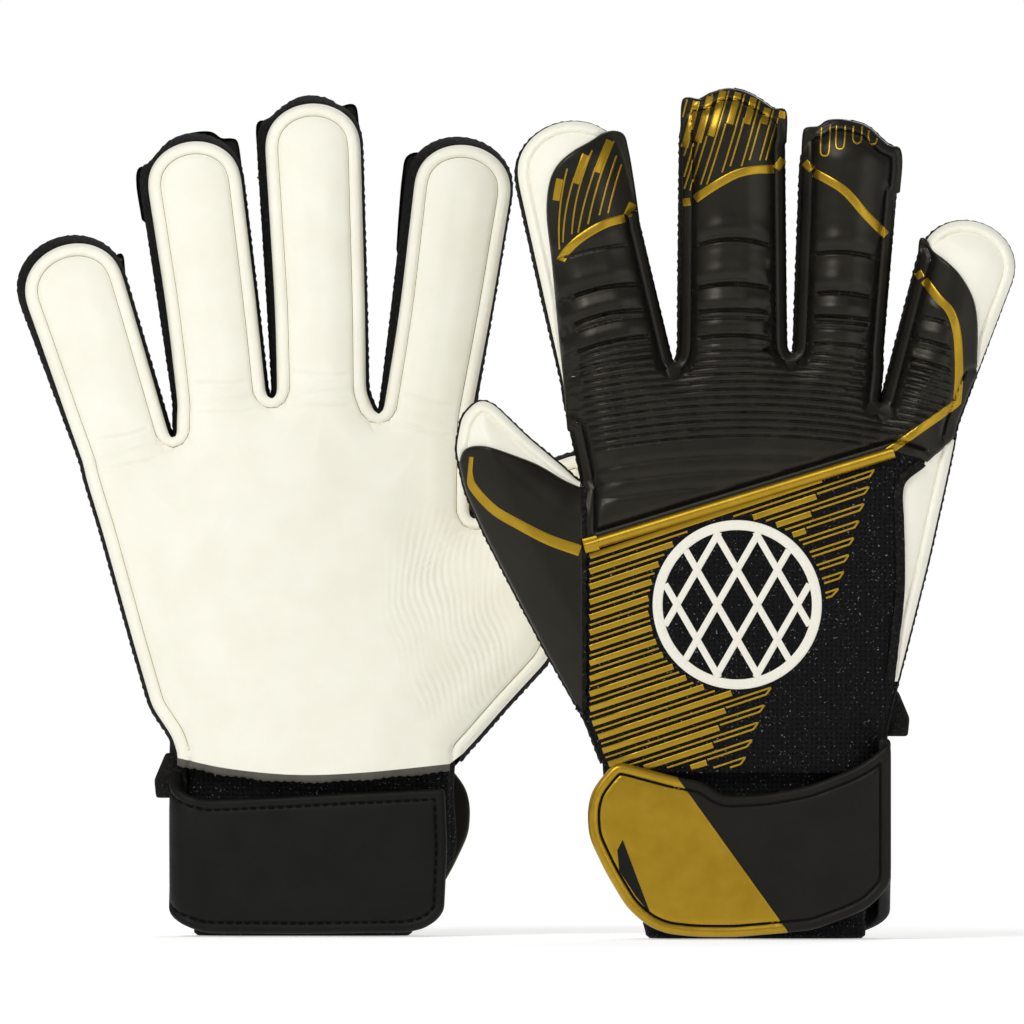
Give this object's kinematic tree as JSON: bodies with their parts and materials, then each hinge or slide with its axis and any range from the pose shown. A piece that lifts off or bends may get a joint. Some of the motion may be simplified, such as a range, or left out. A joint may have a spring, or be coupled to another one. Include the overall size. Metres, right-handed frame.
{
  "type": "goalkeeper gloves",
  "caption": "Pair of padded goalkeeper gloves with latex palms, ribbed foam backs, knitted cuffs and wrap-round closing straps.",
  "frame": {"origin": "centre of the pair's footprint at the bottom of the cuffs", "axes": "+Z towards the fingertips, +X to the right seen from the front, +Y to the rear; the front faces -Y"},
  "size_m": [0.3315, 0.1106, 0.2814],
  "materials": {
    "latex": "matt cream foam latex",
    "back_foam": "embossed matt foam",
    "gusset_knit": "brushed knit",
    "knit_mesh": "open knit mesh",
    "gold_print": "metallic gold foil print",
    "strap_fabric": "smooth coated fabric with stitched edges",
    "hook_and_loop": "hook and loop",
    "lining": "brushed lining",
    "white_print": "raised rubber print"
  },
  "bodies": {
    "glove_a_hand": {"glove_a_palm_latex": "latex", "glove_a_palm_lining": "lining", "glove_a_ribbed_back_panel": "back_foam", "glove_a_mesh_back_panel": "knit_mesh", "glove_a_seam_piping": "gold_print", "glove_a_thumb_side_wall": "gusset_knit", "glove_a_web_wall": "gusset_knit", "glove_a_outer_side_wall": "gusset_knit", "glove_a_cuff_sleeve": "knit_mesh", "glove_a_strap_band": "strap_fabric", "glove_a_loop_patch": "hook_and_loop", "glove_a_pull_tab": "gusset_knit"},
    "glove_a_flap": {"glove_a_strap_flap": "strap_fabric", "glove_a_hook_patch": "hook_and_loop", "glove_a_strap_end_tab": "gold_print"},
    "glove_a_thumb": {"glove_a_thumb_palm": "latex", "glove_a_thumb_gusset": "gusset_knit", "glove_a_thumb_back": "back_foam"},
    "glove_a_index": {"glove_a_index_palm": "latex", "glove_a_index_gusset": "gusset_knit", "glove_a_index_back": "back_foam"},
    "glove_a_middle": {"glove_a_middle_palm": "latex", "glove_a_middle_gusset": "gusset_knit", "glove_a_middle_back": "back_foam"},
    "glove_a_ring": {"glove_a_ring_palm": "latex", "glove_a_ring_gusset": "gusset_knit", "glove_a_ring_back": "back_foam"},
    "glove_a_pinky": {"glove_a_pinky_palm": "latex", "glove_a_pinky_gusset": "gusset_knit", "glove_a_pinky_back": "back_foam"},
    "glove_b_hand": {"glove_b_palm_latex": "latex", "glove_b_palm_lining": "lining", "glove_b_ribbed_back_panel": "back_foam", "glove_b_mesh_back_panel": "knit_mesh", "glove_b_seam_piping": "gold_print", "glove_b_thumb_side_wall": "gusset_knit", "glove_b_web_wall": "gusset_knit", "glove_b_outer_side_wall": "gusset_knit", "glove_b_cuff_sleeve": "knit_mesh", "glove_b_strap_band": "strap_fabric", "glove_b_loop_patch": "hook_and_loop", "glove_b_pull_tab": "gusset_knit"},
    "glove_b_flap": {"glove_b_strap_flap": "strap_fabric", "glove_b_hook_patch": "hook_and_loop", "glove_b_strap_end_tab": "gold_print"},
    "glove_b_thumb": {"glove_b_thumb_palm": "latex", "glove_b_thumb_gusset": "gusset_knit", "glove_b_thumb_back": "back_foam"},
    "glove_b_index": {"glove_b_index_palm": "latex", "glove_b_index_gusset": "gusset_knit", "glove_b_index_back": "back_foam"},
    "glove_b_middle": {"glove_b_middle_palm": "latex", "glove_b_middle_gusset": "gusset_knit", "glove_b_middle_back": "back_foam"},
    "glove_b_ring": {"glove_b_ring_palm": "latex", "glove_b_ring_gusset": "gusset_knit", "glove_b_ring_back": "back_foam"},
    "glove_b_pinky": {"glove_b_pinky_palm": "latex", "glove_b_pinky_gusset": "gusset_knit", "glove_b_pinky_back": "back_foam"}
  },
  "joints": [
    {"name": "glove_a_thumb_bend", "type": "hinge", "parent": "glove_a_hand", "child": "glove_a_thumb", "pos_m": [-0.0157, 0.018, 0.11], "axis": [0, 0, -1], "range_deg": [0, 45], "stiffness_Nm_per_rad": 0.05},
    {"name": "glove_a_index_bend", "type": "hinge", "parent": "glove_a_hand", "child": "glove_a_index", "pos_m": [-0.0311, 0.018, 0.1715], "axis": [0.9903, 0, -0.1392], "range_deg": [0, 75], "stiffness_Nm_per_rad": 0.05},
    {"name": "glove_a_middle_bend", "type": "hinge", "parent": "glove_a_hand", "child": "glove_a_middle", "pos_m": [-0.066, 0.018, 0.1799], "axis": [0.999, 0, 0.0454], "range_deg": [0, 75], "stiffness_Nm_per_rad": 0.05},
    {"name": "glove_a_ring_bend", "type": "hinge", "parent": "glove_a_hand", "child": "glove_a_ring", "pos_m": [-0.0989, 0.018, 0.1771], "axis": [0.9907, 0, 0.1357], "range_deg": [0, 75], "stiffness_Nm_per_rad": 0.05},
    {"name": "glove_a_pinky_bend", "type": "hinge", "parent": "glove_a_hand", "child": "glove_a_pinky", "pos_m": [-0.1298, 0.018, 0.16], "axis": [0.9466, 0, 0.3223], "range_deg": [0, 75], "stiffness_Nm_per_rad": 0.05},
    {"name": "glove_a_strap_open", "type": "hinge", "parent": "glove_a_hand", "child": "glove_a_flap", "pos_m": [-0.1162, 0.0493, 0.034], "axis": [0, 0, 1], "range_deg": [0, 150]},
    {"name": "glove_b_thumb_bend", "type": "hinge", "parent": "glove_b_hand", "child": "glove_b_thumb", "pos_m": [0.0216, -0.018, 0.11], "axis": [0, 0, -1], "range_deg": [0, 45], "stiffness_Nm_per_rad": 0.05},
    {"name": "glove_b_index_bend", "type": "hinge", "parent": "glove_b_hand", "child": "glove_b_index", "pos_m": [0.0334, -0.018, 0.1853], "axis": [-0.9744, 0, -0.225], "range_deg": [0, 75], "stiffness_Nm_per_rad": 0.05},
    {"name": "glove_b_middle_bend", "type": "hinge", "parent": "glove_b_hand", "child": "glove_b_middle", "pos_m": [0.0711, -0.018, 0.1934], "axis": [-1, 0, 0], "range_deg": [0, 75], "stiffness_Nm_per_rad": 0.05},
    {"name": "glove_b_ring_bend", "type": "hinge", "parent": "glove_b_hand", "child": "glove_b_ring", "pos_m": [0.1059, -0.018, 0.192], "axis": [-0.9981, 0, 0.0611], "range_deg": [0, 75], "stiffness_Nm_per_rad": 0.05},
    {"name": "glove_b_pinky_bend", "type": "hinge", "parent": "glove_b_hand", "child": "glove_b_pinky", "pos_m": [0.1319, -0.018, 0.1715], "axis": [-0.9521, 0, 0.3057], "range_deg": [0, 75], "stiffness_Nm_per_rad": 0.05},
    {"name": "glove_b_strap_open", "type": "hinge", "parent": "glove_b_hand", "child": "glove_b_flap", "pos_m": [0.1231, -0.0493, 0.034], "axis": [0, 0, 1], "range_deg": [0, 150]},
    {"name": "glove_b_lift", "type": "slide", "parent": "glove_a_hand", "child": "glove_b_hand", "axis": [0, 0, 1], "range_m": [0, 0.15]}
  ]
}
